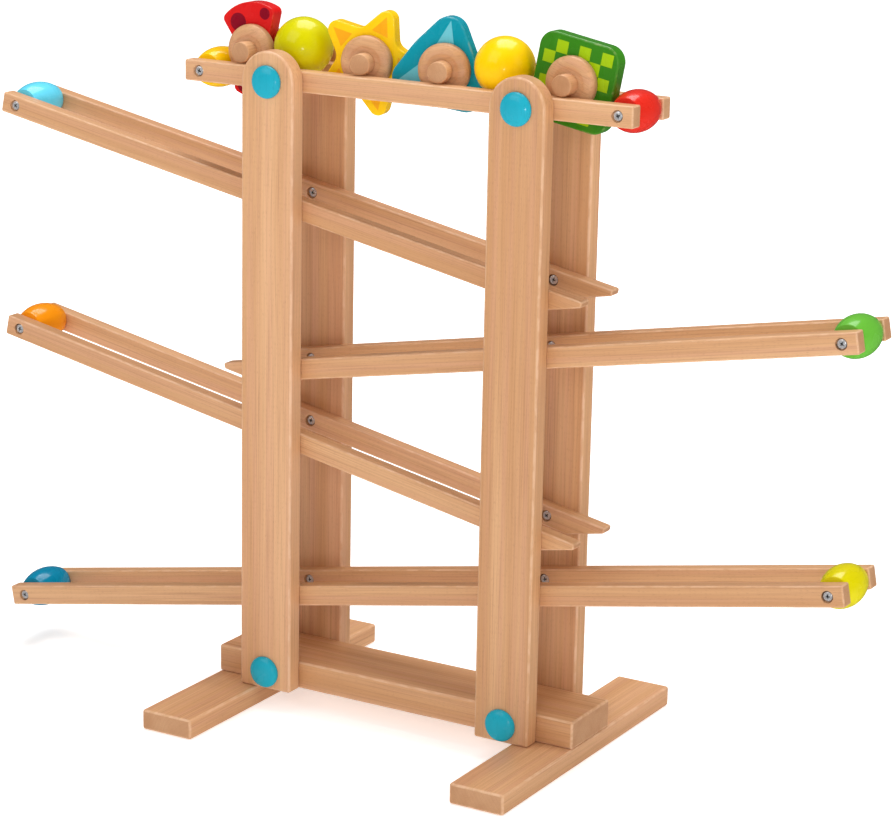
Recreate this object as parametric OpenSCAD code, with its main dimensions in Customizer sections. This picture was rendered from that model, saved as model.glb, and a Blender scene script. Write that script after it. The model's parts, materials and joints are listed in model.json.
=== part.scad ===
// Marble run of beech: a tower with a storage track on top and four sloping ramps below it.
// Frame: X runs along the tracks, Y goes to the back, Z is up. The feet stand on Z = 0 and the
// origin is the middle of the footprint. Lengths are millimetres.

/* [Track] */
// Clear gap between the two rails of every track
rail_gap = 36; // [35.5:0.25:36.5]
// Thickness of one rail, across the track
rail_t = 12; // [11.5:0.25:12.5]
// Height of one rail
rail_h = 16; // [15:0.5:17]
// Length of the level storage track on top
top_track_l = 382; // [380:1:390]
// Distance of each end of the ramps from the middle of the tower
ramp_reach = 368; // [360:1:380]
// Distance of the pointed tips of ramps 1, 2 and 3 from the middle
tip_reach = 154; // [150:1:160]
// Thickness left at the very tip of a ramp
tip_h = 4.5; // [4:0.5:6]
// Length of the cut that points a ramp
tip_l = 29; // [20:1:35]

/* [Slopes] */
// Slope of ramps 1 and 3, which run down to the right, in degrees
slope_right = 11.2; // [10.8:0.1:11.4]
// Slope of ramps 2 and 4, which run down to the left, in degrees
slope_left = 10.4; // [10:0.1:10.8]
// Height of ramp 4 above the floor at the middle of the tower, to the top of its rails
ramp_4_z = 116; // [114:0.5:118]
// Step in height from one ramp to the next at the middle of the tower
ramp_step = 91; // [90:0.5:92]

/* [Tower] */
// Width of an upright, which is also the diameter of its round top
upright_w = 46; // [42:1:50]
// Thickness of an upright
upright_t = 15; // [13:0.5:18]
// Distance of each upright's centre line from the middle
upright_x = 106; // [104:0.5:108]
// Height of the centre line of the top track above the floor
top_track_z = 495; // [494:0.5:500]
// Length of the base plank
plank_l = 318; // [310:1:330]
// Thickness of the base plank
plank_t = 22; // [20:0.5:25]
// Height of the lower bolts above the floor
low_bolt_z = 30; // [26:0.5:31]

/* [Feet] */
// Length of a cross foot, from front to back
foot_l = 270; // [240:1:290]
// Width of a cross foot
foot_w = 45; // [40:1:50]
// Height of a cross foot
foot_h = 16; // [15:0.5:17]
// Distance of each foot's centre line from the middle
foot_x = 136.5; // [134:0.5:138]

/* [Loose pieces] */
// Diameter of the two loose balls
ball_d = 45; // [44.75:0.25:45.25]
// Diameter of the dowel that carries a figure
axle_d = 16; // [15:0.5:16]
// Length of that dowel
axle_l = 49; // [48:0.5:50]
// Diameter of a figure's hub discs
hub_d = 40; // [38:0.5:40]
// Thickness of one hub disc
hub_t = 8; // [7:0.5:8]
// Thickness of a figure's board
board_t = 12; // [10:0.5:12]

/* [Hidden] */
$fn = 64;
lap = 1;
rest_gap = 0.3;
ball_gap = 0.5;
side_y = rail_gap/2;
frame_y = side_y + rail_t;
outer_y = frame_y + upright_t;
rail_top_z = top_track_z + rail_h/2;

// Stop beads: barrels that hold the rails apart at the ends of every track
bead_d = 31;
bead_end_d = 23;
bead_rings = 12;
top_bead_x = 178.5;
bead_inset = 12.5;

// Screws and bolts
screw_head_d = 7.4;
screw_head_h = 2.2;
screw_sink = 3;
screw_bore_d = 9;
screw_d = 4;
bead_screw_l = 20;
rail_screw_l = 18;
foot_screw_l = 26;
foot_screw_sink = 4;
foot_screw_y = 15;
cross_w = 1.1;
cross_l = 4.4;
cross_depth = 1.3;
cap_d = 25;
cap_h = 6;
cap_edge = 1;
cap_rings = 10;
bolt_head_d = 12;
bolt_head_h = 2;
bolt_d = 6;
top_bolt_l = 24;
low_bolt_l = 38;

// Figures: hub discs
hub_edge = 3.8;
hub_chamfer = 1;
hub_dish_r = 12.5;
hub_dish_floor_r = 11.3;
hub_dish = 1.2;
hub_steps = 8;
corner_steps = 10;

// Figures: place on the top track, turn about the upright axis, turn of the outline about the
// axle, and how far the outline sits to one side of the axle
axle_z = rail_top_z + axle_d/2 + rest_gap;
red_at = [-144, 0, 11, 0];
star_at = [-43, 11, 67, 0];
triangle_at = [23.6, 11, 78, -4];
square_at = [130.4, 0, -10.5, 0];

// Outline of the double fan
wing_r = 36.5;
wing_corner = [24, 27];
wing_corner_r = 4.5;
wing_waist = 12;
wing_waist_r = 4;
wing_arc_from = 54;
wing_arc_step = 6;

// Outline of the star
star_tip = 49.5;
star_tip_r = 7;
star_notch = 25;
star_notch_r = 8;

// Outline of the triangle
triangle_tip = 49.5;
triangle_tip_r = 13;
triangle_side = 28;
triangle_side_r = 60;

// Outline of the square
square_half = 32.5;
square_corner_r = 12;

// Loose balls on the top track: the rail edges carry them
ball_lift = sqrt(ball_d*ball_d/4 - side_y*side_y) + ball_gap;
ball_z = rail_top_z + ball_lift;
lime_ball_x = -102.5;
yellow_ball_x = 71.3;

// Colours
beech = [0.83, 0.62, 0.42];
steel = [0.75, 0.76, 0.78];
cap_blue = [0.16, 0.60, 0.70];
yellow = [0.98, 0.80, 0.02];
red = [0.86, 0.13, 0.08];
sky_blue = [0.20, 0.62, 0.80];
green = [0.36, 0.68, 0.20];
orange = [0.95, 0.52, 0.05];
lime = [0.82, 0.80, 0.04];
teal = [0.00, 0.48, 0.66];
leaf_green = [0.26, 0.52, 0.10];

// Which piece to draw

// ---------------------------------------------------------------- ramps

// Ramp i from 0 (highest) to 3: [top height at the middle, slope, +1 where it runs down right]
ramps = [[ramp_4_z + 3*ramp_step, slope_right, 1],
         [ramp_4_z + 2*ramp_step, slope_left, -1],
         [ramp_4_z + ramp_step, slope_right, 1],
         [ramp_4_z, slope_left, -1]];

// A ramp's own axes: X down the slope, Z square to it, Y to the back.
// The origin is on its top edge above the middle of the tower.
module on_ramp(i) {
    r = ramps[i];
    translate([0, 0, r[0]])
        mirror([r[2] > 0 ? 0 : 1, 0, 0])
            rotate([0, r[1], 0])
                children();
}

// Distance along the slope to the point of a ramp's centre line at world distance x
function along(i, x) = (x + rail_h/2*sin(ramps[i][1]))/cos(ramps[i][1]);
function bead_along(i) = along(i, -ramp_reach) + bead_inset;
function low_bead_along(i) = along(i, ramp_reach) - bead_inset;

// ---------------------------------------------------------------- fasteners

// A tool or a shank along +Y from the origin
module along_y(d, l) {
    rotate([-90, 0, 0])
        cylinder(d = d, h = l);
}

// Space for a sunk screw that goes in along +Y from the origin
module screw_space(sink, l) {
    translate([0, -lap, 0])
        along_y(screw_bore_d, sink + lap);
    along_y(screw_d, sink + l);
}

// A cross-slotted screw that goes in along +Y, sunk below the origin
module screw(sink, l) {
    translate([0, sink - screw_head_h, 0])
        difference() {
            union() {
                along_y(screw_head_d, screw_head_h);
                along_y(screw_d, screw_head_h + l);
            }
            for (turn = [0, 90])
                rotate([0, turn, 0])
                    translate([-cross_l/2, -lap, -cross_w/2])
                        cube([cross_l, lap + cross_depth, cross_w]);
        }
}

// ---------------------------------------------------------------- tower

module foot(side) {
    color(beech)
        difference() {
            translate([side*foot_x - foot_w/2, -foot_l/2, 0])
                cube([foot_w, foot_l, foot_h]);
            foot_screw_places(side)
                screw_space(foot_screw_sink, foot_screw_l);
        }
}

module foot_left() {
    foot(-1);
}

module foot_right() {
    foot(1);
}

// Two screws come up through each foot into the plank
module foot_screw_places(side) {
    for (y = [-foot_screw_y, foot_screw_y])
        translate([side*foot_x, y, 0])
            rotate([90, 0, 0])
                children();
}

module base_plank() {
    color(beech)
        difference() {
            translate([-plank_l/2, -frame_y, foot_h])
                cube([plank_l, 2*frame_y, plank_t]);
            for (side = [-1, 1])
                foot_screw_places(side)
                    screw_space(foot_screw_sink, foot_screw_l);
            low_bolt_places()
                along_y(bolt_d, low_bolt_l);
        }
}

// Bolts start at the outer face of each upright and run inwards
module low_bolt_places() {
    for (side = [-1, 1], face = [0, 180])
        rotate([0, 0, face])
            translate([side*upright_x, -outer_y, low_bolt_z])
                children();
}

module top_bolt_places() {
    for (side = [-1, 1], face = [0, 180])
        rotate([0, 0, face])
            translate([side*upright_x, -outer_y, top_track_z])
                children();
}

module upright(side, back) {
    color(beech)
        difference() {
            mirror([0, back, 0])
                translate([side*upright_x, -frame_y, 0])
                    rotate([90, 0, 0])
                        linear_extrude(upright_t)
                            union() {
                                translate([-upright_w/2, foot_h])
                                    square([upright_w, top_track_z - foot_h]);
                                translate([0, top_track_z])
                                    circle(d = upright_w);
                            }
            low_bolt_places()
                along_y(bolt_d, low_bolt_l);
            top_bolt_places()
                along_y(bolt_d, top_bolt_l);
            rail_screw_places()
                screw_space(screw_sink, rail_screw_l);
        }
}

module upright_front_left() {
    upright(-1, 0);
}

module upright_front_right() {
    upright(1, 0);
}

module upright_back_left() {
    upright(-1, 1);
}

module upright_back_right() {
    upright(1, 1);
}

// ---------------------------------------------------------------- rails

module top_rail(back) {
    color(beech)
        difference() {
            mirror([0, back, 0])
                translate([-top_track_l/2, -frame_y, top_track_z - rail_h/2])
                    cube([top_track_l, rail_t, rail_h]);
            top_bolt_places()
                along_y(bolt_d, top_bolt_l);
            top_bead_screw_places()
                screw_space(screw_sink, bead_screw_l);
        }
}

module top_rail_front() {
    top_rail(0);
}

module top_rail_back() {
    top_rail(1);
}

// Side view of a ramp rail in the ramp's own axes: square high end, low end cut to a point
module ramp_outline(i) {
    pointed = i < 3;
    high = along(i, -ramp_reach);
    low = pointed ? along(i, tip_reach) : along(i, ramp_reach);
    cut = pointed ? tip_l : 0;
    end_h = pointed ? tip_h : rail_h;
    polygon([[high, 0], [high, -rail_h], [low - cut, -rail_h], [low, -end_h], [low, 0]]);
}

module ramp_rail(i, back) {
    color(beech)
        difference() {
            on_ramp(i)
                mirror([0, back, 0])
                    translate([0, -side_y, 0])
                        rotate([90, 0, 0])
                            linear_extrude(rail_t)
                                ramp_outline(i);
            rail_screw_places()
                screw_space(screw_sink, rail_screw_l);
            ramp_bead_screw_places()
                screw_space(screw_sink, bead_screw_l);
        }
}

module ramp_1_rail_front() {
    ramp_rail(0, 0);
}

module ramp_1_rail_back() {
    ramp_rail(0, 1);
}

module ramp_2_rail_front() {
    ramp_rail(1, 0);
}

module ramp_2_rail_back() {
    ramp_rail(1, 1);
}

module ramp_3_rail_front() {
    ramp_rail(2, 0);
}

module ramp_3_rail_back() {
    ramp_rail(2, 1);
}

module ramp_4_rail_front() {
    ramp_rail(3, 0);
}

module ramp_4_rail_back() {
    ramp_rail(3, 1);
}

// ---------------------------------------------------------------- places of screws

// Screws from inside the track, through each ramp rail into its upright
module rail_screw_places() {
    for (i = [0:3], side = [-1, 1], face = [0, 180])
        on_ramp(i)
            translate([along(i, side*upright_x), 0, -rail_h/2])
                rotate([0, 0, face])
                    translate([0, side_y, 0])
                        children();
}

// Screws from the outer faces of the rails into both ends of each stop bead
module bead_ends() {
    for (face = [0, 180])
        rotate([0, 0, face])
            translate([0, -frame_y, 0])
                children();
}

module top_bead_screw_places() {
    for (side = [-1, 1])
        translate([side*top_bead_x, 0, top_track_z])
            bead_ends()
                children();
}

module ramp_bead_screw_places() {
    for (i = [0:3])
        on_ramp(i)
            translate([bead_along(i), 0, -rail_h/2])
                bead_ends()
                    children();
    on_ramp(3)
        translate([low_bead_along(3), 0, -rail_h/2])
            bead_ends()
                children();
}

module bead_screws() {
    color(steel) {
        top_bead_screw_places()
            screw(screw_sink, bead_screw_l);
        ramp_bead_screw_places()
            screw(screw_sink, bead_screw_l);
    }
}

module rail_screws() {
    color(steel)
        rail_screw_places()
            screw(screw_sink, rail_screw_l);
}

module foot_screws() {
    color(steel)
        for (side = [-1, 1])
            foot_screw_places(side)
                screw(foot_screw_sink, foot_screw_l);
}

// A bolt with a low round head that stands on the upright, under its cap
module bolt(l) {
    translate([0, -bolt_head_h, 0])
        along_y(bolt_head_d, bolt_head_h);
    along_y(bolt_d, l);
}

module cap_bolts() {
    color(steel) {
        top_bolt_places()
            bolt(top_bolt_l);
        low_bolt_places()
            bolt(low_bolt_l);
    }
}

// A domed cap that stands on the upright and takes the bolt head
module cap() {
    r = cap_d/2;
    rotate([90, 0, 0])
        difference() {
            rotate_extrude()
                polygon(concat([[0, 0], [r, 0]],
                    [for (k = [0:cap_rings]) let (a = 90*k/cap_rings)
                        [r*cos(a), cap_edge + (cap_h - cap_edge)*sin(a)]]));
            translate([0, 0, -lap])
                cylinder(d = bolt_head_d, h = bolt_head_h + lap);
        }
}

module blue_caps() {
    color(cap_blue) {
        top_bolt_places()
            cap();
        low_bolt_places()
            cap();
    }
}

// ---------------------------------------------------------------- stop beads

// A barrel along Y, flat where it meets the rails
module bead() {
    belly = (bead_d - bead_end_d)/2;
    arc_r = (side_y*side_y + belly*belly)/(2*belly);
    rotate([-90, 0, 0])
        rotate_extrude()
            polygon(concat([[0, -side_y]],
                [for (k = [-bead_rings:bead_rings]) let (y = side_y*k/bead_rings)
                    [bead_d/2 - arc_r + sqrt(arc_r*arc_r - y*y), y]],
                [[0, side_y]]));
}

module top_bead(side) {
    difference() {
        translate([side*top_bead_x, 0, top_track_z])
            bead();
        top_bead_screw_places()
            screw_space(screw_sink, bead_screw_l);
    }
}

module ramp_bead(i, at) {
    difference() {
        on_ramp(i)
            translate([at, 0, -rail_h/2])
                bead();
        ramp_bead_screw_places()
            screw_space(screw_sink, bead_screw_l);
    }
}

module stop_bead_top_yellow() {
    color(yellow)
        top_bead(-1);
}

module stop_bead_top_red() {
    color(red)
        top_bead(1);
}

module stop_bead_1_sky_blue() {
    color(sky_blue)
        ramp_bead(0, bead_along(0));
}

module stop_bead_2_green() {
    color(green)
        ramp_bead(1, bead_along(1));
}

module stop_bead_3_orange() {
    color(orange)
        ramp_bead(2, bead_along(2));
}

module stop_bead_4_lime() {
    color(lime)
        ramp_bead(3, bead_along(3));
}

module stop_bead_4_teal() {
    color(teal)
        ramp_bead(3, low_bead_along(3));
}

// ---------------------------------------------------------------- figures

function unit(v) = v/norm(v);
function turn_between(a, b) = let (d = b - a) d > 180 ? d - 360 : d < -180 ? d + 360 : d;

// The rounded corner b between a and c; a radius of 0 keeps the corner
function corner(a, b, c, r) = r <= 0 ? [b] :
    let (u = unit(a - b),
         v = unit(c - b),
         half = acos(u*v)/2,
         p = b + u*r/tan(half),
         q = b + v*r/tan(half),
         m = b + unit(u + v)*r/sin(half),
         start = atan2(p[1] - m[1], p[0] - m[0]),
         sweep = turn_between(start, atan2(q[1] - m[1], q[0] - m[0])))
    [for (k = [0:corner_steps]) m + r*[cos(start + sweep*k/corner_steps),
                                       sin(start + sweep*k/corner_steps)]];

// The outline through corners [x, z, radius], each one rounded
function rounded(c) = let (n = len(c))
    [for (k = [0:n - 1])
        each corner([c[(k + n - 1)%n][0], c[(k + n - 1)%n][1]],
                    [c[k][0], c[k][1]],
                    [c[(k + 1)%n][0], c[(k + 1)%n][1]],
                    c[k][2])];

function at_angle(r, a) = [r*cos(a), r*sin(a)];

// Two fans, one up and one down, that meet behind the hubs
wing_arc = [for (a = [wing_arc_from:wing_arc_step:180 - wing_arc_from]) at_angle(wing_r, a)];
function wing(s) = concat([[s*wing_corner[0], s*wing_corner[1], wing_corner_r]],
                          [for (p = wing_arc) [s*p[0], s*p[1], 0]],
                          [[-s*wing_corner[0], s*wing_corner[1], wing_corner_r],
                           [-s*wing_waist, 0, wing_waist_r]]);
wings_points = rounded(concat(wing(1), wing(-1)));

// Five soft points
star_points = rounded([for (k = [0:9])
    concat(at_angle(k%2 == 0 ? star_tip : star_notch, 36*k),
           [k%2 == 0 ? star_tip_r : star_notch_r])]);

// Three soft points and bulging sides
triangle_points = rounded([for (k = [0:5])
    concat(at_angle(k%2 == 0 ? triangle_tip : triangle_side, 60*k),
           [k%2 == 0 ? triangle_tip_r : triangle_side_r])]);

square_points = rounded([for (c = [[1, -1], [1, 1], [-1, 1], [-1, -1]])
    concat(square_half*c, [square_corner_r])]);

// A figure's own axes: origin on the axle, Y along it
module on_figure(at) {
    translate([at[0], 0, axle_z])
        rotate([0, 0, at[1]])
            children();
}

module board(at, points) {
    on_figure(at)
        rotate([90, 0, 0])
            difference() {
                translate([at[3], 0, -board_t/2])
                    linear_extrude(board_t)
                        rotate(at[2])
                            polygon(points);
                translate([0, 0, -board_t])
                    cylinder(d = axle_d, h = 2*board_t);
            }
}

// A turned disc with a rounded rim and a shallow recess round the axle
module hub(at, back) {
    r = hub_d/2;
    color(beech)
        on_figure(at)
            mirror([0, back, 0])
                translate([0, -board_t/2, 0])
                    rotate([90, 0, 0])
                        rotate_extrude()
                            polygon(concat(
                                [[axle_d/2, 0], [r - hub_chamfer, 0], [r, hub_chamfer]],
                                [for (k = [0:hub_steps]) let (a = 90*k/hub_steps)
                                    [hub_dish_r + (r - hub_dish_r)*cos(a),
                                     hub_edge + (hub_t - hub_edge)*sin(a)]],
                                [[hub_dish_floor_r, hub_t - hub_dish],
                                 [axle_d/2, hub_t - hub_dish]]));
}

module axle(at) {
    color(beech)
        on_figure(at)
            translate([0, -axle_l/2, 0])
                along_y(axle_d, axle_l);
}

module red_wings_board() {
    color(red)
        board(red_at, wings_points);
}

module red_wings_hub_front() {
    hub(red_at, 0);
}

module red_wings_hub_back() {
    hub(red_at, 1);
}

module red_wings_axle() {
    axle(red_at);
}

module star_board() {
    color(yellow)
        board(star_at, star_points);
}

module star_hub_front() {
    hub(star_at, 0);
}

module star_hub_back() {
    hub(star_at, 1);
}

module star_axle() {
    axle(star_at);
}

module triangle_board() {
    color(teal)
        board(triangle_at, triangle_points);
}

module triangle_hub_front() {
    hub(triangle_at, 0);
}

module triangle_hub_back() {
    hub(triangle_at, 1);
}

module triangle_axle() {
    axle(triangle_at);
}

module square_board() {
    color(leaf_green)
        board(square_at, square_points);
}

module square_hub_front() {
    hub(square_at, 0);
}

module square_hub_back() {
    hub(square_at, 1);
}

module square_axle() {
    axle(square_at);
}

module lime_ball() {
    color(lime)
        translate([lime_ball_x, 0, ball_z])
            sphere(d = ball_d);
}

module yellow_ball() {
    color(yellow)
        translate([yellow_ball_x, 0, ball_z])
            sphere(d = ball_d);
}

foot_left();
foot_right();
base_plank();
upright_front_left();
upright_front_right();
upright_back_left();
upright_back_right();
top_rail_front();
top_rail_back();
ramp_1_rail_front();
ramp_1_rail_back();
ramp_2_rail_front();
ramp_2_rail_back();
ramp_3_rail_front();
ramp_3_rail_back();
ramp_4_rail_front();
ramp_4_rail_back();
stop_bead_top_yellow();
stop_bead_top_red();
stop_bead_1_sky_blue();
stop_bead_2_green();
stop_bead_3_orange();
stop_bead_4_teal();
stop_bead_4_lime();
bead_screws();
rail_screws();
foot_screws();
cap_bolts();
blue_caps();
red_wings_board();
red_wings_hub_front();
red_wings_hub_back();
red_wings_axle();
star_board();
star_hub_front();
star_hub_back();
star_axle();
triangle_board();
triangle_hub_front();
triangle_hub_back();
triangle_axle();
square_board();
square_hub_front();
square_hub_back();
square_axle();
lime_ball();
yellow_ball();
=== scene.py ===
"""A toy marble run of beech with painted stop beads, balls and rolling figures.

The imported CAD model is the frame. Every wooden slab is rebuilt from its own CAD solid with rounded
edges; the turned pieces, caps and screws are spun from profiles. The bolts under the caps stay as
they are in the CAD. Everything is in metres; profiles are drawn in millimetres.
"""
import json
import math
import random

import bmesh
import bpy
from mathutils import Matrix, Vector, noise


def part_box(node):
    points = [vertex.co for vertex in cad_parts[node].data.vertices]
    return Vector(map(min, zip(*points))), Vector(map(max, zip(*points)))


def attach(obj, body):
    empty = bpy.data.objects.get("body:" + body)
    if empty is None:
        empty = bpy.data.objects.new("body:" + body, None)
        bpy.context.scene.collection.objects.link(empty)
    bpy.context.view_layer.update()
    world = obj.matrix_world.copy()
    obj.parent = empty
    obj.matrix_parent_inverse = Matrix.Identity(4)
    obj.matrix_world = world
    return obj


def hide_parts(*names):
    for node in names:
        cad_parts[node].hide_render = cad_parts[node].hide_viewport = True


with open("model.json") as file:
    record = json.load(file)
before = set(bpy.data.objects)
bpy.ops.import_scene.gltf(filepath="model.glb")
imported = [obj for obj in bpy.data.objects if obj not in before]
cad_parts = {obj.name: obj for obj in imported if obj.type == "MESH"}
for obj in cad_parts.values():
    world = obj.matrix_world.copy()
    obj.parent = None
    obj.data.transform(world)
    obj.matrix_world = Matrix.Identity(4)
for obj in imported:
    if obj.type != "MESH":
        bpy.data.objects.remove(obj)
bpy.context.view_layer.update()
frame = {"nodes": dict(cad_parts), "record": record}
MM = 0.001
record = frame["record"]
BODY = {n: b for b, ns in record["behaviour"]["bodies"].items() for n in ns}
SLOT = {s["node"]: s["material_slot"] for s in record["subparts"]}


# ------------------------------------------------------------------ node trees

def linear(r, g, b):
    """A colour given as 0-255 display values, as linear light."""
    def one(c):
        c /= 255
        return c / 12.92 if c <= 0.04045 else ((c + 0.055) / 1.055) ** 2.4
    return (one(r), one(g), one(b), 1.0)


class Tree:
    """A material and short names for the nodes that it's built from."""

    def __init__(self, name):
        self.mat = bpy.data.materials.new(name)
        self.mat.use_nodes = True
        self.nodes = self.mat.node_tree.nodes
        self.links = self.mat.node_tree.links
        self.nodes.clear()
        out = self.nodes.new("ShaderNodeOutputMaterial")
        self.bsdf = self.nodes.new("ShaderNodeBsdfPrincipled")
        self.links.new(self.bsdf.outputs[0], out.inputs[0])

    def put(self, value, socket):
        if isinstance(value, bpy.types.NodeSocket):
            self.links.new(value, socket)
        elif value is not None:
            socket.default_value = value

    def math(self, op, a, b=None):
        n = self.nodes.new("ShaderNodeMath")
        n.operation = op
        for value, socket in zip((a, b), n.inputs):
            self.put(value, socket)
        return n.outputs[0]

    def vec(self, op, a, b=None):
        n = self.nodes.new("ShaderNodeVectorMath")
        n.operation = op
        self.put(a, n.inputs[0])
        if b is not None:
            self.put(b, n.inputs[3] if op == "SCALE" else n.inputs[1])
        return n.outputs["Value"] if op in ("LENGTH", "DOT_PRODUCT") else n.outputs[0]

    def split(self, v):
        n = self.nodes.new("ShaderNodeSeparateXYZ")
        self.put(v, n.inputs[0])
        return n.outputs[0], n.outputs[1], n.outputs[2]

    def join(self, x, y, z):
        n = self.nodes.new("ShaderNodeCombineXYZ")
        for value, socket in zip((x, y, z), n.inputs):
            self.put(value, socket)
        return n.outputs[0]

    def attribute(self, name):
        n = self.nodes.new("ShaderNodeAttribute")
        n.attribute_name = name
        return n

    def noise(self, v, scale=1.0, detail=3.0, rough=0.5):
        n = self.nodes.new("ShaderNodeTexNoise")
        self.put(v, n.inputs["Vector"])
        self.put(scale, n.inputs["Scale"])
        self.put(detail, n.inputs["Detail"])
        self.put(rough, n.inputs["Roughness"])
        return n.outputs["Fac"]

    def cells(self, v):
        n = self.nodes.new("ShaderNodeTexVoronoi")
        self.put(v, n.inputs["Vector"])
        self.put(1.0, n.inputs["Scale"])
        self.put(1.0, n.inputs["Randomness"])
        return n.outputs["Distance"], n.outputs["Color"]

    def span(self, x, lo, hi, to_lo=0.0, to_hi=1.0):
        n = self.nodes.new("ShaderNodeMapRange")
        n.interpolation_type = "SMOOTHSTEP"
        for value, socket in zip((x, lo, hi, to_lo, to_hi), n.inputs):
            self.put(value, socket)
        return n.outputs[0]

    def mix(self, fac, a, b, blend="MIX"):
        n = self.nodes.new("ShaderNodeMix")
        n.data_type = "RGBA"
        n.blend_type = blend
        self.put(fac, n.inputs["Factor"])
        sockets = [s for s in n.inputs if s.type == "RGBA"]
        self.put(a, sockets[0])
        self.put(b, sockets[1])
        return [s for s in n.outputs if s.type == "RGBA"][0]

    def bump(self, height, distance, strength):
        n = self.nodes.new("ShaderNodeBump")
        n.inputs["Strength"].default_value = strength
        n.inputs["Distance"].default_value = distance
        self.put(height, n.inputs["Height"])
        return n.outputs[0]

    def set(self, **values):
        for name, value in values.items():
            self.put(value, self.bsdf.inputs[name.replace("_", " ")])


RING_PITCH = 3.1 * MM


def wood_fields(t):
    """Grain fields from the 'grain' attribute: metres along, across and through the piece."""
    grain = t.attribute("grain").outputs["Vector"]
    wander = t.noise(t.vec("MULTIPLY", grain, (2.4, 14, 14)), detail=2.0)
    shift = t.math("MULTIPLY", t.math("SUBTRACT", wander, 0.5), 0.018)
    along, across, deep = t.split(grain)
    across = t.math("ADD", across, shift)
    deep = t.math("ADD", deep, shift)
    radius = t.vec("LENGTH", t.join(0.0, across, deep))
    # growth rings, each one darker towards its outer edge
    phase = t.math("FRACT", t.math("MULTIPLY", radius, 1 / RING_PITCH))
    rings = t.math("POWER", phase, 2.5)
    # fine fibres run the length of the piece
    fibre = t.noise(t.vec("MULTIPLY", grain, (10, 1000, 1000)), detail=3.0, rough=0.62)
    # broad bands of lighter and darker wood
    bands = t.noise(t.vec("MULTIPLY", grain, (1.5, 60, 60)), detail=2.0)
    # short dark rays, the mark of beech
    ray_dist, ray_cell = t.cells(t.vec("MULTIPLY", grain, (240, 1900, 1900)))
    chosen = t.math("GREATER_THAN", t.split(ray_cell)[0], 0.55)
    rays = t.math("MULTIPLY", t.span(ray_dist, 0.40, 0.10), chosen)
    return grain, rings, fibre, bands, rays


def beech_material():
    t = Tree("beech_lacquered")
    grain, rings, fibre, bands, rays = wood_fields(t)
    end = t.attribute("end").outputs["Fac"]
    edge = t.attribute("edge").outputs["Fac"]
    tone = t.attribute("tone").outputs["Fac"]
    light = linear(225, 177, 132)
    mid = linear(207, 154, 107)
    colour = t.mix(t.span(bands, 0.32, 0.68), light, mid)
    # soft lengthwise streaks lean to pink, as steamed beech does
    blush = t.noise(t.vec("MULTIPLY", grain, (1.8, 150, 150)), detail=2.0)
    flank = t.math("SUBTRACT", 1.0, t.math("MULTIPLY", end, 0.85))
    blush = t.math("MULTIPLY", t.span(blush, 0.44, 0.68, 0.0, 0.60), flank)
    colour = t.mix(blush, colour, linear(216, 162, 127))
    colour = t.mix(t.math("MULTIPLY", rings, 0.19), colour, linear(184, 131, 92))
    streak = t.math("MULTIPLY", t.span(fibre, 0.45, 0.78, 0.0, 0.52), flank)
    colour = t.mix(streak, colour, linear(172, 118, 80))
    colour = t.mix(t.math("MULTIPLY", t.math("MULTIPLY", rays, 0.26), flank), colour,
                   linear(146, 98, 66))
    # end grain drinks the lacquer and looks darker, with fine pores
    pores = t.noise(t.vec("MULTIPLY", grain, (60, 2600, 2600)), detail=2.0)
    colour = t.mix(t.math("MULTIPLY", end, t.span(pores, 0.35, 0.65, 0.40, 0.62)), colour,
                   linear(168, 119, 84))
    # painted highlight: the rounded edges are made paler to stand in for the light they catch, and
    # partly for the thinner finish where the round takes it thin
    edge_noise = t.noise(t.vec("MULTIPLY", grain, (90, 260, 260)), detail=3.0)
    colour = t.mix(t.math("MULTIPLY", edge, t.span(edge_noise, 0.42, 0.62, 0.25, 0.65)), colour,
                   linear(234, 194, 160))
    # painted shade: the walls of the bores are darkened, standing in for the shadow inside them
    colour = t.mix(t.math("MULTIPLY", t.attribute("painted_bore_shade").outputs["Fac"], 0.86), colour,
                   linear(58, 36, 24))
    # one plank differs from the next
    colour = t.mix(tone, t.mix(1.0, colour, (0.90, 0.87, 0.83, 1), "MULTIPLY"), colour)
    rough = t.math("ADD", t.span(fibre, 0.3, 0.75, 0.36, 0.50), t.math("MULTIPLY", end, 0.14))
    height = t.math("SUBTRACT", t.math("MULTIPLY", fibre, 0.6), t.math("MULTIPLY", rays, 0.5))
    height = t.math("MULTIPLY", height, flank)
    normal = t.bump(height, 0.00012, 0.55)
    t.set(Base_Color=colour, Roughness=rough, Normal=normal, IOR=1.48)
    t.set(Specular_IOR_Level=0.4, Coat_Weight=0.16, Coat_Roughness=0.24)
    return t.mat


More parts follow.
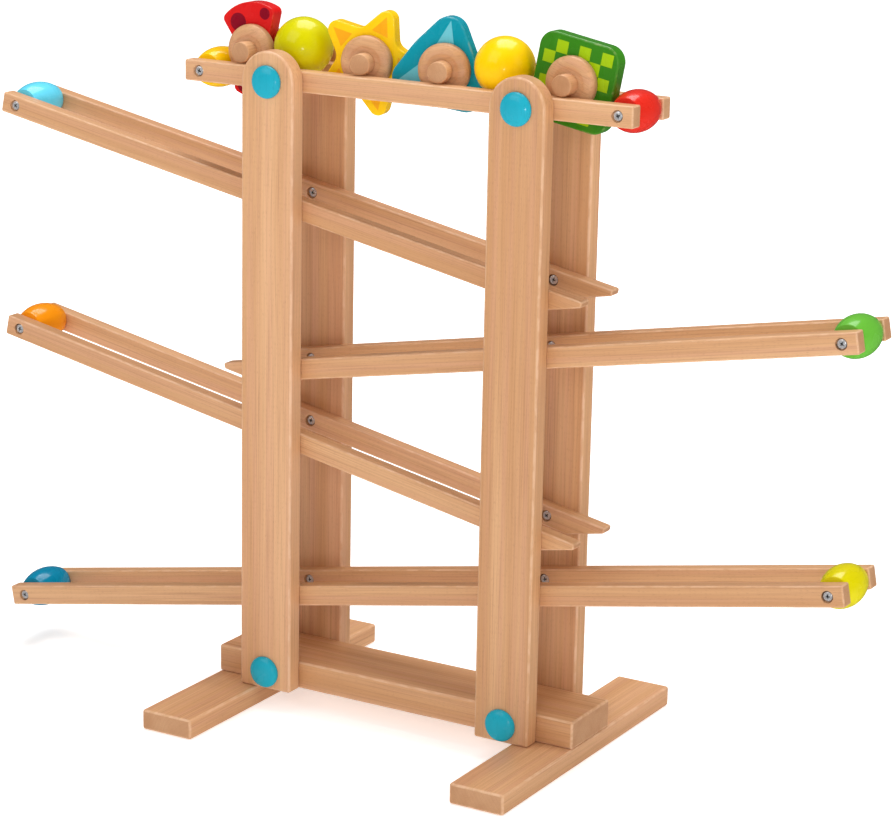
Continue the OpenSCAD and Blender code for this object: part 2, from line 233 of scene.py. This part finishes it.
def paint_material(name, rgb, marks=None, mark_rgb=None, grainy=0.10, rough=0.26):
    """Gloss lacquer over wood; marks(t, position) gives where a second colour goes."""
    t = Tree(name)
    grain, _, fibre, bands, rays = wood_fields(t)
    edge = t.attribute("edge").outputs["Fac"]
    base = linear(*rgb)
    deep = tuple(c * 0.86 for c in base[:3]) + (1.0,)
    pale = tuple(min(1.0, c * 1.07 + 0.001) for c in base[:3]) + (1.0,)
    colour = t.mix(t.span(bands, 0.3, 0.7), base, pale)
    if marks:
        place = t.attribute("local").outputs["Vector"]
        second = linear(*mark_rgb)
        colour = t.mix(marks(t, place), colour, second)
    # the wood's grain shows faintly through the colour
    veil = t.math("MULTIPLY", t.span(fibre, 0.5, 0.8), grainy * 2.2)
    colour = t.mix(veil, colour, t.mix(1.0, colour, (0.72, 0.72, 0.72, 1), "MULTIPLY"))
    colour = t.mix(t.math("MULTIPLY", rays, grainy), colour, deep)
    # thin paint on the edges, from play
    edge_noise = t.noise(t.vec("MULTIPLY", grain, (160, 160, 160)), detail=4.0, rough=0.6)
    edge_mark = t.math("MULTIPLY", edge, t.span(edge_noise, 0.54, 0.64, 0.04, 0.30))
    colour = t.mix(edge_mark, colour, t.mix(0.45, pale, linear(236, 205, 170)))
    peel = t.noise(t.vec("SCALE", grain, 420.0), detail=1.0)
    smear = t.noise(t.vec("SCALE", grain, 70.0), detail=2.0)
    rough_now = t.span(smear, 0.3, 0.7, rough - 0.05, rough + 0.07)
    height = t.math("ADD", t.math("MULTIPLY", peel, 0.35), t.math("MULTIPLY", fibre, grainy * 3))
    t.set(Base_Color=colour, Roughness=rough_now, Normal=t.bump(height, 0.00008, 0.35), IOR=1.5)
    t.set(Specular_IOR_Level=0.14, Coat_Weight=0.34, Coat_Roughness=0.07)
    return t.mat


def steel_material():
    t = Tree("zinc_steel")
    spot = t.attribute("grain").outputs["Vector"]
    blur = t.noise(t.vec("SCALE", spot, 900.0), detail=3.0)
    edge = t.attribute("edge").outputs["Fac"]
    colour = t.mix(t.span(blur, 0.3, 0.7), linear(206, 208, 212), linear(232, 233, 236))
    # painted shade: the marked cross recess and head side go dark, standing in for the shadow there
    colour = t.mix(t.math("MULTIPLY", edge, 0.92), colour, linear(52, 49, 46))
    t.set(Base_Color=colour, Metallic=0.55, Roughness=t.span(blur, 0.3, 0.7, 0.16, 0.28))
    t.set(Normal=t.bump(blur, 0.00003, 0.4))
    return t.mat


FLOOR_NEAR, FLOOR_FAR = 0.4, 2.4
FLOOR_GLOW, BACKDROP_GLOW = 0.50, 1.0


def floor_material():
    t = Tree("pale_floor")
    place = t.nodes.new("ShaderNodeTexCoord").outputs["Object"]
    tone = t.noise(place, scale=1.3, detail=2.0)
    colour = t.mix(t.span(tone, 0.3, 0.7), (0.86, 0.86, 0.86, 1), (0.88, 0.88, 0.88, 1))
    t.set(Base_Color=colour, Roughness=0.75)
    # the floor glows more further out, like a lit white backdrop
    glow = t.span(t.vec("LENGTH", place), FLOOR_NEAR, FLOOR_FAR, FLOOR_GLOW, BACKDROP_GLOW)
    t.set(Emission_Color=(1, 1, 1, 1), Emission_Strength=glow)
    return t.mat


# ------------------------------------------------------------------ painted marks

def on_face(t, place):
    """1 on the front and back faces of a board, 0 round its edge."""
    return t.math("GREATER_THAN", t.math("ABSOLUTE", t.split(place)[1]), 5.7 * MM)


def dot(t, x, z, cx, cz, r):
    d = t.vec("LENGTH", t.join(t.math("SUBTRACT", x, cx), 0.0, t.math("SUBTRACT", z, cz)))
    return t.span(d, r - 0.15 * MM, r + 0.15 * MM, 1.0, 0.0)


def wing_dots(t, place):
    x, y, z = t.split(place)
    big, small = (-14.1 * MM, 20.2 * MM, 7.0 * MM), (9.9 * MM, 28.3 * MM, 4.5 * MM)
    total = 0.0
    for side in (1, -1):
        for cx, cz, r in (big, small):
            total = t.math("MAXIMUM", total, dot(t, x, z, side * cx, side * cz, r))
    return t.math("MULTIPLY", total, on_face(t, place))


def folded(t, place, turn, sectors):
    """Distance out along the nearest of evenly spaced directions, and distance off it."""
    x, y, z = t.split(place)
    sector = 2 * math.pi / sectors
    angle = t.math("SUBTRACT", t.math("ARCTAN2", z, x), math.radians(turn))
    nearest = t.math("MULTIPLY", t.math("ROUND", t.math("DIVIDE", angle, sector)), sector)
    off = t.math("SUBTRACT", angle, nearest)
    r = t.vec("LENGTH", t.join(x, 0.0, z))
    return t.math("MULTIPLY", r, t.math("COSINE", off)), t.math("MULTIPLY", r, t.math("SINE", off))


def arrow(t, place, turn, sectors, base, half, tip):
    """Triangles that point outwards, one to each sector."""
    out, off = folded(t, place, turn, sectors)
    room = t.math("MULTIPLY", t.math("SUBTRACT", tip, out), half / (tip - base))
    inside = t.span(t.math("SUBTRACT", room, t.math("ABSOLUTE", off)), -0.12 * MM, 0.12 * MM)
    return t.math("MULTIPLY", t.math("MULTIPLY", inside, t.math("GREATER_THAN", out, base)),
                  on_face(t, place))


def star_marks(t, place):
    return arrow(t, place, 67, 5, 23.0 * MM, 6.8 * MM, 37.0 * MM)


def triangle_marks(t, place):
    shifted = t.vec("ADD", place, (4 * MM, 0, 0))
    return arrow(t, shifted, 78, 3, 12.0 * MM, 9.0 * MM, 37.0 * MM)


def checks(t, place):
    x, y, z = t.split(place)
    a = math.radians(-10.5)
    pitch, half = 9.2 * MM, 27.6 * MM
    u = t.math("ADD", t.math("MULTIPLY", x, math.cos(a)), t.math("MULTIPLY", z, math.sin(a)))
    v = t.math("SUBTRACT", t.math("MULTIPLY", z, math.cos(a)), t.math("MULTIPLY", x, math.sin(a)))
    col = t.math("FLOOR", t.math("DIVIDE", t.math("ADD", u, half), pitch))
    row = t.math("FLOOR", t.math("DIVIDE", t.math("SUBTRACT", half, v), pitch))
    odd = t.math("MODULO", t.math("ADD", t.math("ADD", col, row), 20.0), 2.0)
    odd = t.math("GREATER_THAN", odd, 0.5)
    for value in (u, v):
        inside = t.math("LESS_THAN", t.math("ABSOLUTE", value), half)
        odd = t.math("MULTIPLY", odd, inside)
    return t.math("MULTIPLY", odd, on_face(t, place))


BEECH = beech_material()
STEEL = steel_material()
PAINT = {
    "stop_bead_top_yellow": paint_material("paint_bead_yellow", (250, 200, 0)),
    "stop_bead_top_red": paint_material("paint_bead_red", (214, 40, 26)),
    "stop_bead_1_sky_blue": paint_material("paint_bead_sky_blue", (100, 210, 238)),
    "stop_bead_2_green": paint_material("paint_bead_green", (100, 178, 56)),
    "stop_bead_3_orange": paint_material("paint_bead_orange", (250, 150, 8)),
    "stop_bead_4_teal": paint_material("paint_bead_teal", (0, 134, 172)),
    "stop_bead_4_lime": paint_material("paint_bead_lime", (216, 204, 0)),
    "lime_ball": paint_material("paint_ball_lime", (208, 202, 0), rough=0.30),
    "yellow_ball": paint_material("paint_ball_yellow", (252, 204, 0), rough=0.30),
    "blue_caps": paint_material("paint_cap", (32, 162, 184), grainy=0.30, rough=0.22),
    "red_wings_board": paint_material("paint_red_wings", (214, 22, 22), wing_dots, (134, 2, 30)),
    "star_board": paint_material("paint_star", (250, 200, 4), star_marks, (244, 168, 14)),
    "triangle_board": paint_material("paint_triangle", (0, 144, 164), triangle_marks,
                                     (104, 190, 204)),
    "square_board": paint_material("paint_square", (54, 130, 22), checks, (160, 198, 6)),
}


# ------------------------------------------------------------------ mesh building

def fresh(bm, name):
    mesh = bpy.data.meshes.new(name)
    bm.normal_update()
    bm.to_mesh(mesh)
    bm.free()
    obj = bpy.data.objects.new(name, mesh)
    bpy.context.scene.collection.objects.link(obj)
    return obj


def tag(obj, axes, origin, rng, edge=None):
    """Writes the attributes that the materials read: grain, end, edge and tone."""
    mesh = obj.data
    along, across, deep = (Vector(a).normalized() for a in axes)
    pith = Vector((rng.uniform(0, 3), rng.uniform(0.03, 0.09), rng.uniform(-0.06, 0.06)))
    mesh.attributes.new("grain", "FLOAT_VECTOR", "POINT")
    for kind in ("end", "edge", "tone"):
        mesh.attributes.new(kind, "FLOAT", "POINT")
    grain, end, edge_mark, tone = (mesh.attributes[k].data for k in ("grain", "end", "edge", "tone"))
    this_tone = rng.uniform(0.35, 1.0)
    for v in mesh.vertices:
        p = v.co - origin
        grain[v.index].vector = Vector((p.dot(along), p.dot(across), p.dot(deep))) + pith
        end[v.index].value = abs(v.normal.dot(along)) ** 4
        edge_mark[v.index].value = edge[v.index] if edge else 0.0
        tone[v.index].value = this_tone


def seeded(name):
    return random.Random("marble run " + name)


def finish_piece(obj, node, material):
    """Gives a piece its material and body, and lets it stand for its CAD node."""
    obj.data.materials.clear()
    obj.data.materials.append(material)
    for p in obj.data.polygons:
        p.use_smooth = True
        p.material_index = 0
    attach(obj, BODY[node])
    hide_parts(node)
    return obj


def clean_copy(node):
    """The CAD node's solid with its flat faces whole again."""
    bm = bmesh.new()
    bm.from_mesh(frame["nodes"][node].data)
    bmesh.ops.remove_doubles(bm, verts=bm.verts, dist=1e-6)
    bmesh.ops.dissolve_limit(bm, angle_limit=math.radians(0.6), verts=bm.verts, edges=bm.edges,
                             use_dissolve_boundaries=False, delimit=set())
    bm.normal_update()
    return bm


def sharp(edge):
    return (len(edge.link_faces) == 2 and edge.is_convex
            and edge.calc_face_angle() > math.radians(35))


# a bore wall is made of facets this narrow and this small
BORE_FACET = 0.5 * MM
BORE_FACET_AREA = 25 * MM * MM
# an edge shorter than this belongs to a bore's rim
RIM_LENGTH = 1.2 * MM
RIM_EASE = 0.35 * MM


def slab(node, name, material, radius, grain=None, local=None):
    """A sawn piece: its CAD solid with rounded edges and eased bore rims."""
    bm = clean_copy(node)
    if grain is None:
        longest = max(bm.edges, key=lambda e: e.calc_length())
        grain = (longest.verts[1].co - longest.verts[0].co).normalized()
    is_board = local is not None
    rims, outer = [], []
    for e in bm.edges:
        if sharp(e):
            small = e.calc_length() < RIM_LENGTH and not is_board
            (rims if small else outer).append(e)
    bmesh.ops.bevel(bm, geom=outer, offset=radius, offset_type="OFFSET", segments=4,
                    profile=0.5, affect="EDGES", clamp_overlap=True, material=1)
    if rims:
        rims = [e for e in rims if e.is_valid]
        bmesh.ops.bevel(bm, geom=rims, offset=RIM_EASE, offset_type="OFFSET", segments=2,
                        profile=0.5, affect="EDGES", clamp_overlap=True, material=1)
    bmesh.ops.remove_doubles(bm, verts=bm.verts, dist=1e-6)
    bm.normal_update()
    bm.verts.index_update()
    edge, painted_bore_shade = {}, {}
    for v in bm.verts:
        faces = v.link_faces
        # only the rounded strips get the edge mark (painted highlight on beech, wear on paint), so a
        # flat face stays at 0 right out to its corners
        edge[v.index] = float(all(f.material_index == 1 for f in faces))
        # painted shade: vertices on the small facets of a bore wall are marked for darkening
        painted_bore_shade[v.index] = 0.0 if is_board else float(any(
            f.material_index == 0 and f.calc_area() < BORE_FACET_AREA
            and min(e.calc_length() for e in f.edges) < BORE_FACET for f in faces))
    obj = fresh(bm, name)
    lo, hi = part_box(node)
    centre = (lo + hi) / 2
    deep = Vector((0, 1, 0)) if abs(grain.y) < 0.9 else Vector((0, 0, 1))
    across = deep.cross(grain)
    tag(obj, (grain, across, deep), centre, seeded(name), edge)
    sunk = obj.data.attributes.new("painted_bore_shade", "FLOAT", "POINT")
    for index, value in painted_bore_shade.items():
        sunk.data[index].value = value
    if local is not None:
        place = obj.data.attributes.new("local", "FLOAT_VECTOR", "POINT")
        inverse = local.inverted()
        for v in obj.data.vertices:
            place.data[v.index].vector = inverse @ v.co
    weighted = obj.modifiers.new("weighted_normals", "WEIGHTED_NORMAL")
    weighted.weight = 60
    return finish_piece(obj, node, material)


def spin(bm, profile, segments, axis_matrix):
    """A closed turned solid from (radius, height) points; a radius of 0 is a pole."""
    rings = []
    for r, h in profile:
        if r <= 0:
            rings.append([bm.verts.new(axis_matrix @ Vector((0, 0, h)))])
            continue
        rings.append([bm.verts.new(axis_matrix @ Vector((
            r * math.cos(2 * math.pi * k / segments),
            r * math.sin(2 * math.pi * k / segments), h))) for k in range(segments)])
    loop = list(zip(rings, rings[1:]))
    if len(rings[0]) > 1 and len(rings[-1]) > 1:
        loop.append((rings[-1], rings[0]))
    for a, b in loop:
        for k in range(segments):
            j = (k + 1) % segments
            quad = [a[k % len(a)], a[j % len(a)], b[j % len(b)], b[k % len(b)]]
            face = []
            for v in quad:
                if v not in face:
                    face.append(v)
            if len(face) > 2:
                bm.faces.new(face)


def arc(cx, cy, r, a0, a1, steps):
    """Points round (cx, cy) from angle a0 to a1, in degrees."""
    return [(cx + r * math.cos(math.radians(a0 + (a1 - a0) * k / steps)),
             cy + r * math.sin(math.radians(a0 + (a1 - a0) * k / steps)))
            for k in range(steps + 1)]


def frame_at(centre, towards, spin_angle=0.0):
    """Local Z towards a direction, turned about it."""
    z = Vector(towards).normalized()
    rot = z.to_track_quat("Z", "Y").to_matrix().to_4x4()
    return Matrix.Translation(centre) @ rot @ Matrix.Rotation(spin_angle, 4, "Z")


def turned(node, name, profile, matrix, material, grain, segments=96, wobble=0.0):
    bm = bmesh.new()
    spin(bm, [(r * MM, h * MM) for r, h in profile], segments, matrix)
    bmesh.ops.recalc_face_normals(bm, faces=bm.faces)
    rng = seeded(name)
    if wobble:
        offset = Vector((rng.uniform(0, 9), rng.uniform(0, 9), rng.uniform(0, 9)))
        bm.normal_update()
        for v in bm.verts:
            v.co += v.normal * noise.noise(v.co * 90 + offset) * wobble * MM
    obj = fresh(bm, name)
    centre = matrix.translation.copy()
    helper = Vector((0, 0, 1)) if abs(Vector(grain).normalized().z) < 0.8 else Vector((1, 0, 0))
    across = helper.cross(Vector(grain)).normalized()
    deep = Vector(grain).cross(across).normalized()
    tag(obj, (grain, across, deep), centre, rng)
    obj.data.set_sharp_from_angle(angle=math.radians(38))
    return finish_piece(obj, node, material)


def islands(node):
    """(lowest, highest) corner of each separate solid in a CAD node."""
    bm = bmesh.new()
    bm.from_mesh(frame["nodes"][node].data)
    bmesh.ops.remove_doubles(bm, verts=bm.verts, dist=1e-6)
    left = set(bm.verts)
    found = []
    while left:
        seed = left.pop()
        group, queue = [seed], [seed]
        while queue:
            for e in queue.pop().link_edges:
                for v in e.verts:
                    if v in left:
                        left.remove(v)
                        group.append(v)
                        queue.append(v)
        co = [v.co for v in group]
        lo = Vector(min(c[i] for c in co) for i in range(3))
        hi = Vector(max(c[i] for c in co) for i in range(3))
        found.append((lo, hi))
    bm.free()
    return sorted(found, key=lambda b: tuple(round(c, 5) for c in (b[0] + b[1])))


# ------------------------------------------------------------------ tower and tracks

PLANK_EDGE, RAIL_EDGE = 2.0 * MM, 1.4 * MM

for n in ("foot_left", "foot_right"):
    slab(n, "beech_" + n, BEECH, PLANK_EDGE)
slab("base_plank", "beech_base_plank", BEECH, PLANK_EDGE)
for n in sorted(SLOT):
    if n.startswith("upright_"):
        slab(n, "beech_" + n, BEECH, PLANK_EDGE)
    if "_rail_" in n:
        slab(n, "beech_" + n, BEECH, RAIL_EDGE)


# ------------------------------------------------------------------ stop beads and balls

BEAD_END, BEAD_MID, BEAD_HALF = 11.5, 15.5, 18.0


def bead_profile():
    belly = BEAD_MID - BEAD_END
    r = (BEAD_HALF ** 2 + belly ** 2) / (2 * belly)
    side = []
    steps = 36
    for k in range(-steps, steps + 1):
        h = (BEAD_HALF - 0.7) * k / steps
        side.append((BEAD_MID - r + math.sqrt(r * r - h * h), h))
    # a small round where the barrel meets its flat ends
    last_r = side[-1][0]
    top = [(rr, min(h, BEAD_HALF)) for rr, h in arc(last_r - 0.7, BEAD_HALF - 0.7, 0.7, 20, 90, 4)]
    bottom = [(rr, -h) for rr, h in reversed(top)]
    return [(0, -BEAD_HALF)] + bottom + side + top + [(0, BEAD_HALF)]


for n in sorted(SLOT):
    if n.startswith("stop_bead_"):
        lo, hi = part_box(n)
        turned(n, "turned_" + n, bead_profile(), frame_at((lo + hi) / 2, (0, 1, 0)),
               PAINT[n], (0, 1, 0), segments=112, wobble=0.03)

# a ball's poles are left flat by the lathe
BALL_R, POLE_R = 22.5, 1.6
for n in ("lime_ball", "yellow_ball"):
    lo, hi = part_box(n)
    steps = 72
    a0 = math.degrees(math.asin(POLE_R / BALL_R))
    body = [(BALL_R * math.sin(math.radians(a)), -BALL_R * math.cos(math.radians(a)))
            for a in (a0 + (180 - 2 * a0) * k / steps for k in range(steps + 1))]
    pole = BALL_R * math.cos(math.radians(a0))
    tilt = seeded(n).uniform(0.2, 0.5)
    turned(n, "turned_" + n, [(0, -pole)] + body + [(0, pole)],
           frame_at((lo + hi) / 2, (0.3, 0.9, tilt)), PAINT[n], (0.3, 0.9, tilt),
           segments=128, wobble=0.02)


# ------------------------------------------------------------------ caps and screws

def collect(node, name, prototypes, material):
    """One piece made of a prototype mesh at many places."""
    bm = bmesh.new()
    edge = {}
    for proto, matrix in prototypes:
        start = len(bm.verts)
        bm.from_mesh(proto)
        bm.verts.ensure_lookup_table()
        fresh_verts = bm.verts[start:]
        marks = proto.attributes.get("edge")
        for k, v in enumerate(fresh_verts):
            if marks:
                edge[start + k] = marks.data[k].value
            v.co = matrix @ v.co
    bm.verts.index_update()
    obj = fresh(bm, name)
    tag(obj, ((0, 0, 1), (1, 0, 0), (0, 1, 0)), Vector((0, 0, 0)), seeded(name),
        edge if edge else None)
    obj.data.set_sharp_from_angle(angle=math.radians(38))
    return finish_piece(obj, node, material)


CAP_R, CAP_RIM, CAP_DOME = 12.5, 1.0, 5.0


def cap_mesh():
    """A turned button: rounded rim, low dome, and a recess behind for the bolt head."""
    profile = [(0, 2.0), (5.6, 2.0), (6.0, 1.6), (6.0, 0.0), (11.9, 0.0)]
    profile += arc(12.0, 0.5, 0.5, -60, 0, 3)
    steps = 24
    for k in range(steps + 1):
        a = math.radians(90 * k / steps)
        profile.append((CAP_R * math.cos(a) ** 0.94 if k < steps else 0.0,
                        CAP_RIM + CAP_DOME * math.sin(a)))
    bm = bmesh.new()
    spin(bm, [(r * MM, h * MM) for r, h in profile], 72, Matrix.Identity(4))
    bmesh.ops.recalc_face_normals(bm, faces=bm.faces)
    mesh = bpy.data.meshes.new("cap_prototype")
    bm.to_mesh(mesh)
    bm.free()
    return mesh


def screw_mesh(head_r, head_h, shank_r, length):
    """A pan-head screw: Z is out of the wood, the head's top is at 0, with a tapered cross."""
    rise, rim = 0.55, 0.7
    flat_r = head_r - rim
    big = (flat_r ** 2 + rise ** 2) / (2 * rise)
    profile = [(0, 0)]
    steps = 12
    top = math.degrees(math.asin(flat_r / big))
    for k in range(1, steps + 1):
        a = math.radians(top * k / steps)
        profile.append((big * math.sin(a), big * math.cos(a) - big))
    profile += arc(flat_r, -rise - rim, rim, 90 - top, 0, 5)[1:]
    profile += [(head_r, -head_h), (shank_r, -head_h),
                (shank_r, -head_h - length), (0, -head_h - length)]
    bm = bmesh.new()
    spin(bm, [(r * MM, h * MM) for r, h in profile], 48, Matrix.Identity(4))
    bmesh.ops.recalc_face_normals(bm, faces=bm.faces)
    body = fresh(bm, "screw_body")
    cutter = bmesh.new()
    for turn in (0, 90):
        rot = Matrix.Rotation(math.radians(turn), 4, "Z")
        reach, wide, deep = 2.3, 0.62, 1.35
        top_z, low_z = 0.4, -deep
        pts = [(-reach, -wide, top_z), (reach, -wide, top_z), (reach, wide, top_z),
               (-reach, wide, top_z), (-0.9, -wide * 0.6, low_z), (0.9, -wide * 0.6, low_z),
               (0.9, wide * 0.6, low_z), (-0.9, wide * 0.6, low_z)]
        vs = [cutter.verts.new(rot @ (Vector(p) * MM)) for p in pts]
        for f in ((3, 2, 1, 0), (4, 5, 6, 7), (0, 1, 5, 4), (1, 2, 6, 5), (2, 3, 7, 6),
                  (3, 0, 4, 7)):
            cutter.faces.new([vs[i] for i in f])
        bmesh.ops.recalc_face_normals(cutter, faces=cutter.faces)
    tool = fresh(cutter, "screw_cutter")
    cut = body.modifiers.new("cross", "BOOLEAN")
    cut.operation = "DIFFERENCE"
    cut.solver = "EXACT"
    cut.use_self = True
    cut.object = tool
    bpy.context.view_layer.update()
    shape = bpy.data.meshes.new_from_object(
        body.evaluated_get(bpy.context.evaluated_depsgraph_get()))
    bpy.data.objects.remove(body)
    bpy.data.objects.remove(tool)
    # painted shade: the cross recess and the side of the head are marked, to be darkened for the
    # shadow in the slot and in the gap round the head
    painted_screw_shade = shape.attributes.new("edge", "FLOAT", "POINT")
    for v in shape.vertices:
        inside = v.co.xy.length < 2.6 * MM and v.co.z < -0.5 * MM and v.co.z > -head_h * MM
        side = v.co.xy.length > (head_r - 0.25) * MM
        painted_screw_shade.data[v.index].value = 1.0 if inside or side else 0.0
    return shape


CAP = cap_mesh()
caps = []
for lo, hi in islands("blue_caps"):
    side = 1 if lo.y > 0 else -1
    base = Vector(((lo.x + hi.x) / 2, lo.y if side > 0 else hi.y, (lo.z + hi.z) / 2))
    caps.append((CAP, frame_at(base, (0, side, 0), seeded(str(len(caps))).uniform(0, 3))))
collect("blue_caps", "painted_caps", caps, PAINT["blue_caps"])

HEAD_R, HEAD_H, SHANK_R = 3.7, 2.2, 2.0


def screws(node, name, outward):
    """Screws at each solid of a CAD node; outward(lo, hi) gives where the head faces."""
    placed = []
    boxes = islands(node)
    length = max(boxes[0][1] - boxes[0][0]) / MM - HEAD_H
    proto = screw_mesh(HEAD_R, HEAD_H, SHANK_R, length)
    rng = seeded(name)
    for lo, hi in boxes:
        way = Vector(outward(lo, hi))
        middle = (lo + hi) / 2
        half = Vector(((hi - lo) / 2))
        top = middle + Vector((way.x * half.x, way.y * half.y, way.z * half.z))
        placed.append((proto, frame_at(top, way, rng.uniform(0, 1.5))))
    collect(node, name, placed, STEEL)


screws("bead_screws", "zinc_bead_screws", lambda lo, hi: (0, 1 if lo.y > 0 else -1, 0))
screws("rail_screws", "zinc_rail_screws", lambda lo, hi: (0, -1 if lo.y > 0 else 1, 0))
screws("foot_screws", "zinc_foot_screws", lambda lo, hi: (0, 0, -1))
bolts = frame["nodes"]["cap_bolts"]
bolts.data.materials.clear()
bolts.data.materials.append(STEEL)


# ------------------------------------------------------------------ figures

def figure_frame(name):
    """A figure's own axes from its axle: the dowel lies along Y, turned about Z."""
    lo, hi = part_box(name + "_axle")
    centre = (lo + hi) / 2
    data = frame["nodes"][name + "_axle"].data
    ends = [v.co for v in data.vertices if v.co.y > centre.y + 0.6 * (hi.y - centre.y)]
    far = sum(ends, Vector()) / len(ends)
    turn = math.atan2(-(far.x - centre.x), far.y - centre.y)
    return Matrix.Translation(centre) @ Matrix.Rotation(turn, 4, "Z")


HUB_R, HUB_T, BORE, HALF_BOARD = 20.0, 8.0, 8.0, 6.0
BOARD_EDGE, AXLE_HALF, AXLE_EASE = 2.4 * MM, 24.5, 1.2
HUB_EDGE, DISH_R, DISH_FLOOR_R, DISH = 3.8, 13.2, 10.4, 0.8


def hub_profile():
    """Back face on the board at 0, a domed front, and a shallow dish round the axle."""
    profile = [(BORE, 0.0), (HUB_R - 1.0, 0.0)]
    profile += arc(HUB_R - 1.0, 1.0, 1.0, -90, 0, 4)[1:]
    steps = 20
    for k in range(steps + 1):
        a = math.radians(90 * k / steps)
        profile.append((DISH_R + (HUB_R - DISH_R) * math.cos(a),
                        HUB_EDGE + (HUB_T - HUB_EDGE) * math.sin(a)))
    steps = 10
    for k in range(1, steps + 1):
        u = k / steps
        profile.append((DISH_R + (DISH_FLOOR_R - DISH_R) * u,
                        HUB_T - DISH * u * u * (3 - 2 * u)))
    return profile + [(BORE, HUB_T - DISH)]


def axle_profile():
    end = arc(BORE - 0.02 - AXLE_EASE, AXLE_HALF - AXLE_EASE, AXLE_EASE, 0, 90, 5)
    return ([(0, -AXLE_HALF)] + [(r, -h) for r, h in reversed(end)] + end + [(0, AXLE_HALF)])


for name, grain_turn in (("red_wings", 24), ("star", -8), ("triangle", 12), ("square", -20)):
    local = figure_frame(name)
    rot = local.to_3x3()
    board = name + "_board"
    slab(board, "painted_" + board, PAINT[board], BOARD_EDGE, grain=rot @ Vector((0, 0, 1)),
         local=local)
    for side, part in ((-1, "_hub_front"), (1, "_hub_back")):
        base = local @ Vector((0, side * HALF_BOARD * MM, 0))
        a = math.radians(grain_turn)
        turned(name + part, "turned_" + name + part, hub_profile(),
               frame_at(base, rot @ Vector((0, side, 0))), BEECH,
               rot @ Vector((math.cos(a), 0, math.sin(a))))
    turned(name + "_axle", "turned_" + name + "_axle", axle_profile(),
           frame_at(local.translation, rot @ Vector((0, 1, 0))), BEECH, rot @ Vector((0, 1, 0)))


# ------------------------------------------------------------------ floor, light and camera

FLOOR_HALF = 60.0
# just under the feet, so that the two faces don't flicker
FLOOR_DROP = 0.3 * MM

bm = bmesh.new()
bmesh.ops.create_grid(bm, x_segments=8, y_segments=8, size=FLOOR_HALF)
floor = fresh(bm, "studio_floor")
floor.location.z = -FLOOR_DROP
floor.data.materials.append(floor_material())
floor.visible_glossy = False

world = bpy.data.worlds.new("studio")
bpy.context.scene.world = world
world.use_nodes = True
back = world.node_tree.nodes["Background"]
back.inputs["Color"].default_value = (1.0, 1.0, 1.0, 1)
back.inputs["Strength"].default_value = 0.10


def softbox(name, azimuth, elevation, distance, size, power, colour=(1, 1, 1), shine=True):
    """A square area light, placed by its direction from the object as a camera view is."""
    a, e = math.radians(azimuth), math.radians(elevation)
    data = bpy.data.lights.new(name, "AREA")
    data.size = size
    data.energy = power
    data.color = colour
    obj = bpy.data.objects.new(name, data)
    way = Vector((math.sin(a) * math.cos(e), -math.cos(a) * math.cos(e), math.sin(e)))
    obj.location = Vector((0, 0, 0.28)) + way * distance
    obj.rotation_euler = way.to_track_quat("Z", "Y").to_euler()
    obj.visible_glossy = shine
    bpy.context.scene.collection.objects.link(obj)
    return obj


softbox("front", 26, 3, 2.7, 0.34, 6)
softbox("key", 16, 24, 3.4, 0.9, 21, (1.0, 0.99, 0.97), shine=False)
softbox("right", 88, 30, 3.2, 1.9, 33, (1.0, 0.99, 0.97), shine=False)
softbox("left", -26, 42, 3.6, 2.6, 30, (1.0, 0.99, 0.97))
softbox("top", 200, 76, 3.2, 2.4, 108)

AZIMUTH, ELEVATION, ROLL = math.radians(29.96), math.radians(14.89), math.radians(1.15)
DISTANCE = 2.2
TARGET = Vector((0.0284, 0.0, 0.2528))
FOCAL = 117.2

look_back = Vector((math.sin(AZIMUTH) * math.cos(ELEVATION),
                    -math.cos(AZIMUTH) * math.cos(ELEVATION), math.sin(ELEVATION)))
right = Vector((math.cos(AZIMUTH), math.sin(AZIMUTH), 0))
up = look_back.cross(right)
right_rolled = right * math.cos(ROLL) + up * math.sin(ROLL)
up_rolled = up * math.cos(ROLL) - right * math.sin(ROLL)
camera_data = bpy.data.cameras.new("camera")
camera_data.lens = FOCAL
camera_data.sensor_width = 36
camera = bpy.data.objects.new("camera", camera_data)
bpy.context.scene.collection.objects.link(camera)
camera.matrix_world = (Matrix.Translation(TARGET + look_back * DISTANCE)
                       @ Matrix((right_rolled, up_rolled, look_back)).transposed().to_4x4())
bpy.context.scene.camera = camera
bpy.context.scene.view_settings.view_transform = "Standard"
